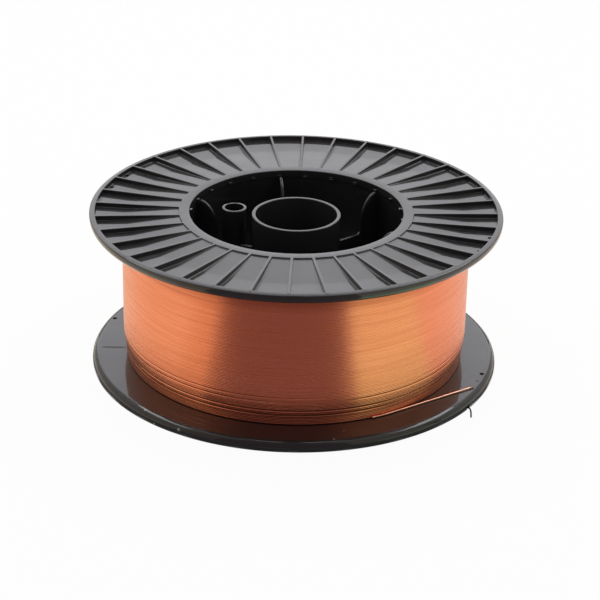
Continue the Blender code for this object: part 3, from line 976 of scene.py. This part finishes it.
@dataclass
class WireEnd:
    """The free end of the wire: off the lowest turn, down its hole, along the pocket and out of the notch."""

    holes: WireHoles
    flange: RibbedFlange
    winding_radius: float
    wire: float = 1.0 * MM
    lead_in: float = 8.0 * DEG
    bend_length: float = 5.0 * MM
    overhang: float = 7.3 * MM
    swing: float = -3.5 * DEG
    notch_turn: float = 1.3 * DEG
    tip_pinch: float = 0.55
    run_step: float = 2.0 * MM
    drop_step: float = 0.5 * MM
    sides: int = 14

    def run(self) -> list[Vector]:
        """Returns the route along the lowest turn, then straight towards the hole."""
        height = self.flange.thickness + CLEARANCE + self.wire / 2
        turn = self.winding_radius + CLEARANCE + self.wire / 2
        azimuth = self.holes.azimuths[0]
        leaves = azimuth - math.acos(turn / self.holes.circle)
        lead = [polar(turn, leaves - self.lead_in * (1 - i / 6), height) for i in range(7)]
        hole = polar(self.holes.circle, azimuth, height)
        bend_start = hole - (hole - lead[-1]).normalized() * self.bend_length
        return lead + [lead[-1].lerp(bend_start, 0.5), bend_start]

    def drop(self, run: list[Vector]) -> list[Vector]:
        """Returns the route from the run down the hole, along the pocket and out.

        Args:
            run: The route up to the bend over the hole.

        Returns:
            The route's points, from the run's last one on.
        """
        wire, azimuth = self.wire, self.holes.notch_azimuth
        rim, edge, depth = self.flange.rim_inner, self.flange.radius, self.flange.level_depth
        hole = polar(self.holes.circle, self.holes.azimuths[0])
        along = (run[-1] - run[-2]).normalized()
        slack = self.holes.radius - wire / 2
        level = (depth - wire) * 0.8
        corner = polar(rim - wire * 2.6, azimuth + self.notch_turn)
        sideways = (corner - hole).normalized()
        top, web, rise = run[-1].z, Vector((0.0, 0.0, depth)), Vector((0.0, 0.0, 1.0))
        # The factors are shares of the wire, of the hole's slack and of the pocket's depth.
        return [
            run[-1],
            hole - along * self.bend_length * 0.45 + rise * top,
            hole - along * slack * 0.3 + rise * (top - wire * 0.3),
            hole + along * slack * 0.3 + rise * (top - wire * 1.3),
            hole + web + rise * wire * 1.2,
            hole + sideways * slack * 0.3 + web,
            hole + sideways * wire * 1.8 + rise * level,
            corner + rise * level,
            polar(rim - wire, azimuth + self.notch_turn * 0.15, level),
            polar((rim + edge) / 2, azimuth, level),
            polar(edge + wire, azimuth, level * 0.9),
            polar(edge + self.overhang / 2, azimuth + self.swing / 3, wire),
            polar(edge + self.overhang, azimuth + self.swing, wire * 0.6),
        ]

    def smooth(self, points: list[Vector], step: float) -> list[Vector]:
        """Returns points about a step apart on a smooth curve through the route.

        Args:
            points: The route.
            step: The distance between the curve's points.

        Returns:
            The curve's points.
        """
        padded = [2 * points[0] - points[1], *points, 2 * points[-1] - points[-2]]
        path = []
        for a, b, c, d in zip(padded, padded[1:], padded[2:], padded[3:]):
            count = max(round((c - b).length / step), 1)
            for i in range(count):
                t = i / count
                bend = (2 * a - 5 * b + 4 * c - d) * t * t + (3 * b - a - 3 * c + d) * t * t * t
                path.append(b + ((c - a) * t + bend) / 2)
        return path + [points[-1]]

    def build(self, finish: Material) -> None:
        """Builds, dresses and places the wire's end, with a pinched cut at its tip."""
        run = self.run()
        path = self.smooth(run, self.run_step)[:-1] + self.smooth(self.drop(run), self.drop_step)
        rows, normal = [], Vector((0.0, 0.0, 1.0))
        for i, place in enumerate(path):
            ahead = (path[min(i + 1, len(path) - 1)] - path[max(i - 1, 0)]).normalized()
            normal = (normal - ahead * normal.dot(ahead)).normalized()
            side = ahead.cross(normal)
            pinch = self.tip_pinch if i == len(path) - 1 else 1.0
            rows.append([
                place + (normal * math.cos(a) * pinch + side * math.sin(a)) * self.wire / 2
                for a in (math.tau * k / self.sides for k in range(self.sides))
            ])
        piece = lofted(rows, "wire_end", True, True)
        finished(piece, finish, ("wire_tail",))


@dataclass(frozen=True)
class Card:
    """A card or a soft box that stands round the object and shows only in its reflections."""

    name: str
    azimuths: tuple[float, float]
    elevations: tuple[float, float]
    colour: str
    strength: float
    distance: float = 0.95
    steps: int = 24

    def place(self, azimuth: float, elevation: float) -> Vector:
        """Returns the point in this direction: azimuth 0 is the viewer's side, and it grows to the right."""
        turn, rise = (azimuth - 90) * DEG, elevation * DEG
        return polar(self.distance * math.cos(rise), turn, self.distance * math.sin(rise))

    def build(self) -> None:
        """Builds the card, which shows only in glossy reflections."""
        (left, right), (low, high) = self.azimuths, self.elevations
        rows = [
            [self.place(left + (right - left) * j / self.steps, low + (high - low) * i / self.steps)
             for j in range(self.steps + 1)]
            for i in range(self.steps + 1)
        ]
        card = lofted(rows, self.name, False, False)
        finish, add = new_material(self.name)
        glow = add("ShaderNodeEmission", (linear(self.colour), self.strength))
        add("ShaderNodeOutputMaterial", (glow,))
        card.data.materials.append(finish)
        card.visible_camera = card.visible_diffuse = card.visible_shadow = False
        card.visible_transmission = card.visible_volume_scatter = False


@dataclass(frozen=True)
class FloorCard(Card):
    """A card that lies on the floor: its elevations are its nearest and farthest distance instead."""

    height: float = 0.3 * MM

    def place(self, azimuth: float, elevation: float) -> Vector:
        """Returns the point on the floor in this direction and at this distance."""
        return polar(elevation, (azimuth - 90) * DEG, self.height)


# What the spool mirrors: soft boxes, lamps and the lit floor draw its bright bands, and cloth, gaps and
# the ceiling draw the dark ones.
STUDIO_CARDS = (
    Card("back_soft_box", (108, 252), (13, 52), "#fbfaff", 1.54, 1.0),
    Card("dark_wall_behind", (150, 210), (0, 13), "#2a2a2c", 1.0, 1.0),
    Card("left_soft_box", (-148, -100), (2, 60), "#fff8f0", 0.60),
    Card("left_front_soft_box", (-100, -56), (2, 60), "#fff2e2", 0.62),
    Card("left_front_fade", (-56, -38), (2, 60), "#e6c8b4", 0.62),
    Card("cloth_behind_camera", (-38, 29), (-3, 75), "#9c8289", 0.72, 0.9),
    Card("right_front_soft_box", (29, 76), (2, 60), "#fff2e2", 0.62),
    Card("gap_between_boxes", (76, 80), (0, 70), "#40302c", 1.0, 0.9),
    Card("right_soft_box", (80, 148), (2, 60), "#fff8f0", 0.60),
    Card("left_lamp_row", (-150, -72), (45, 54), "#ffffff", 4.5, 0.92),
    Card("right_lamp_row", (72, 150), (43, 55), "#ffffff", 5.0, 0.92),
    Card("dark_ceiling", (0, 360), (66, 90), "#3c3c3e", 1.0, 0.97),
    Card("left_ceiling_strip", (-110, -14), (74, 88), "#ffffff", 4.0, 0.93),
    Card("right_ceiling_strip", (14, 110), (74, 88), "#ffffff", 4.0, 0.93),
    FloorCard("cloth_on_floor", (-39, 28), (0.141, 0.9), "#7d686e", 1.16),
    FloorCard("lit_floor_left", (-150, -54), (0.141, 0.9), "#fff1dc", 1.04),
    FloorCard("lit_floor_left_front", (-54, -39), (0.141, 0.9), "#ecd2b6", 1.12),
    FloorCard("lit_floor_right_front", (28, 68), (0.141, 0.26), "#e4ffd2", 1.27),
    FloorCard("lit_floor_further_right", (28, 68), (0.261, 0.9), "#fff2dc", 1.06),
    FloorCard("lit_floor_right", (68, 150), (0.141, 0.9), "#fff0e4", 1.03),
    FloorCard("shade_under_the_rim", (0, 360), (0.1325, 0.1405), "#7c7c7c", 1.0),
)


@dataclass
class Studio:
    """The camera, the pale floor and the soft light of the photograph."""

    focal_pixels: float = 2094.8
    picture: float = 600.0
    distance: float = 1.3542
    elevation: float = 25.27 * DEG
    roll: float = 0.01894
    shift_right: float = -3.192 * MM
    shift_up: float = 10.043 * MM
    aim_height: float = 50.72 * MM
    sensor: float = 36.0
    clip: tuple[float, float] = (0.05, 50.0)
    floor_size: float = 12.0
    floor_colour: str = "#f4f4f4"
    floor_glow: float = 0.95
    light_level: float = 0.5
    lamp_size: tuple[float, float] = (1.6, 1.2)
    lamp_place: Point = (0.0, 0.55, 1.35)
    lamp_power: float = 12.0

    def camera(self) -> None:
        """Places the camera as the photograph's was."""
        sine, cosine = math.sin(self.elevation), math.cos(self.elevation)
        back = Vector((0.0, -cosine, sine))
        level_right, level_up = Vector((1.0, 0.0, 0.0)), Vector((0.0, sine, cosine))
        right = level_right * math.cos(self.roll) + level_up * math.sin(self.roll)
        up = level_up * math.cos(self.roll) - level_right * math.sin(self.roll)
        data = bpy.data.cameras.new("camera")
        data.type, data.sensor_width = "PERSP", self.sensor
        data.lens = self.focal_pixels / self.picture * self.sensor
        data.clip_start, data.clip_end = self.clip
        made = new_object("camera", data)
        aim = Vector((0.0, 0.0, self.aim_height))
        made.location = aim + back * self.distance - right * self.shift_right - up * self.shift_up
        made.rotation_mode = "QUATERNION"
        made.rotation_quaternion = Matrix((right, up, back)).transposed().to_quaternion()
        bpy.context.scene.camera = made

    def floor(self) -> None:
        """Makes the white floor, which glows for the camera and for mirrors and keeps the shadow."""
        half = self.floor_size / 2
        mesh = bpy.data.meshes.new("floor")
        corners = [(-half, -half, 0.0), (half, -half, 0.0), (half, half, 0.0), (-half, half, 0.0)]
        mesh.from_pydata(corners, [], [(0, 1, 2, 3)])
        floor = new_object("floor", mesh)
        # Matt paper: the eye sees plain white with the spool's soft shadow on it.
        made, add = new_material("white_paper_floor")
        share = add(MATHS, (self.background_rays(add), self.floor_glow), operation="MULTIPLY")
        paper = add("ShaderNodeBsdfDiffuse", (linear(self.floor_colour),))
        glow = add("ShaderNodeEmission", (WHITE, 1.0))
        mixed = add("ShaderNodeMixShader", (share, paper, glow))
        add("ShaderNodeOutputMaterial", (mixed,))
        mesh.materials.append(made)

    def background_rays(self, add: Adder) -> Node:
        """Adds a value that is 1 for camera, glossy and transmission rays.

        Args:
            add: Adds a node to the tree.

        Returns:
            The node that gives it.
        """
        ray = add("ShaderNodeLightPath").outputs
        seen = ray["Is Transmission Ray"]
        for kind in ("Is Camera Ray", "Is Glossy Ray"):
            seen = add(MATHS, (ray[kind], seen), operation="MAXIMUM")
        return seen

    def light(self) -> None:
        """Makes the white surroundings, at a plain level for what they light."""
        world = bpy.data.worlds.new("studio")
        bpy.context.scene.world = world
        world.use_nodes = True
        world.node_tree.nodes.clear()
        add = partial(add_node, world.node_tree)
        lit = add("ShaderNodeBackground", (WHITE, self.light_level))
        white = add("ShaderNodeBackground", (WHITE, 1.0))
        mixed = add("ShaderNodeMixShader", (self.background_rays(add), lit, white))
        add("ShaderNodeOutputWorld", (mixed,))
        data = bpy.data.lights.new("overhead_soft_box", "AREA")
        data.shape, data.energy = "RECTANGLE", self.lamp_power
        data.size, data.size_y = self.lamp_size
        lamp = new_object("overhead_soft_box", data)
        lamp.location = self.lamp_place
        lamp.rotation_euler = (-Vector(self.lamp_place)).to_track_quat("-Z", "Y").to_euler()
        lamp.visible_camera = lamp.visible_glossy = False

    def build(self) -> None:
        """Builds the camera, the floor and the light."""
        self.camera()
        self.floor()
        self.light()
        for card in STUDIO_CARDS:
            card.build()
        bpy.context.scene.view_settings.view_transform = "Standard"


OPENING = 68.0 * MM
BARREL_WALL = 3.6 * MM
HOLE_INSET = 5.5 * MM
UPPER_FIRST_RIB, LOWER_FIRST_RIB = -1.5 * DEG, -4.5 * DEG
UPPER_RIM_FALL = 0.55 * MM
# The painted shadow on the wire's end starts this far inside the flange's edge.
SHADOWED_END_INSET = 2.0 * MM
# Marks of handling that the photograph shows, where they lie on the spool.
PALE_MARKS = (
    ((-90.5 * MM, -91.7 * MM, 6.2 * MM), 1.2 * MM),
    ((-84.7 * MM, -100.3 * MM, 1.2 * MM), 0.9 * MM),
    ((-69.0 * MM, -111.4 * MM, 3.7 * MM), 1.3 * MM),
    ((25.4 * MM, -125.0 * MM, 6.7 * MM), 0.8 * MM),
    ((31.5 * MM, -114.2 * MM, 6.7 * MM), 0.6 * MM),
    ((84.1 * MM, 88.4 * MM, 100.0 * MM), 1.1 * MM),
)
# Painted shade on the winding towards the flanges, where the turns lie in their shade: each band is the
# unshaded height, the fully shaded height and its strength.
SHADED_TURNS = ((82 * MM, 89 * MM, 0.5), (20 * MM, 9 * MM, 0.10))
SCORED_LINES = (((-117.2 * MM, -7.7 * MM, 6.7 * MM), (7.5 * MM, 1.3 * MM, 3.0 * MM)),)


def main() -> None:
    """Builds the studio and the four pieces of the spool."""
    logging.basicConfig(level=logging.INFO, format="%(name)s: %(message)s")
    Studio().build()
    upper_low, upper_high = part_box("top_flange")
    winding_low, winding_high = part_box("wire_winding")
    radius, width = upper_high.x, upper_high.z
    barrel_radius = OPENING + BARREL_WALL
    plastic = MouldedPlastic().material(PALE_MARKS, SCORED_LINES)
    copper = CopperedWire().material(SHADED_TURNS)
    # The wire's free end looks paler and pinker than the winding, and past the rim a painted shadow darkens
    # it.
    pale = CopperedWire("bare_end_of_the_wire", "#dcab94", "#cd9a83")
    pale_copper = pale.material(shadowed_past=radius - SHADOWED_END_INSET)
    holes = WireHoles(radius - HOLE_INSET)
    upper = RibbedFlange(Face.UP, width, radius, OPENING, UPPER_FIRST_RIB, rim_fall=UPPER_RIM_FALL)
    lower = RibbedFlange(Face.DOWN, 0.0, radius, OPENING, LOWER_FIRST_RIB)
    UpperFlange(upper, holes, barrel_radius).build(plastic)
    SpoolBody(lower, holes, width, barrel_radius, upper_low.z - CLEARANCE).build(plastic)
    Winding(winding_low.z, winding_high.z, barrel_radius + CLEARANCE, winding_high.x).build(copper)
    WireEnd(holes, lower, winding_high.x).build(pale_copper)


if __name__ == "__main__":
    main()
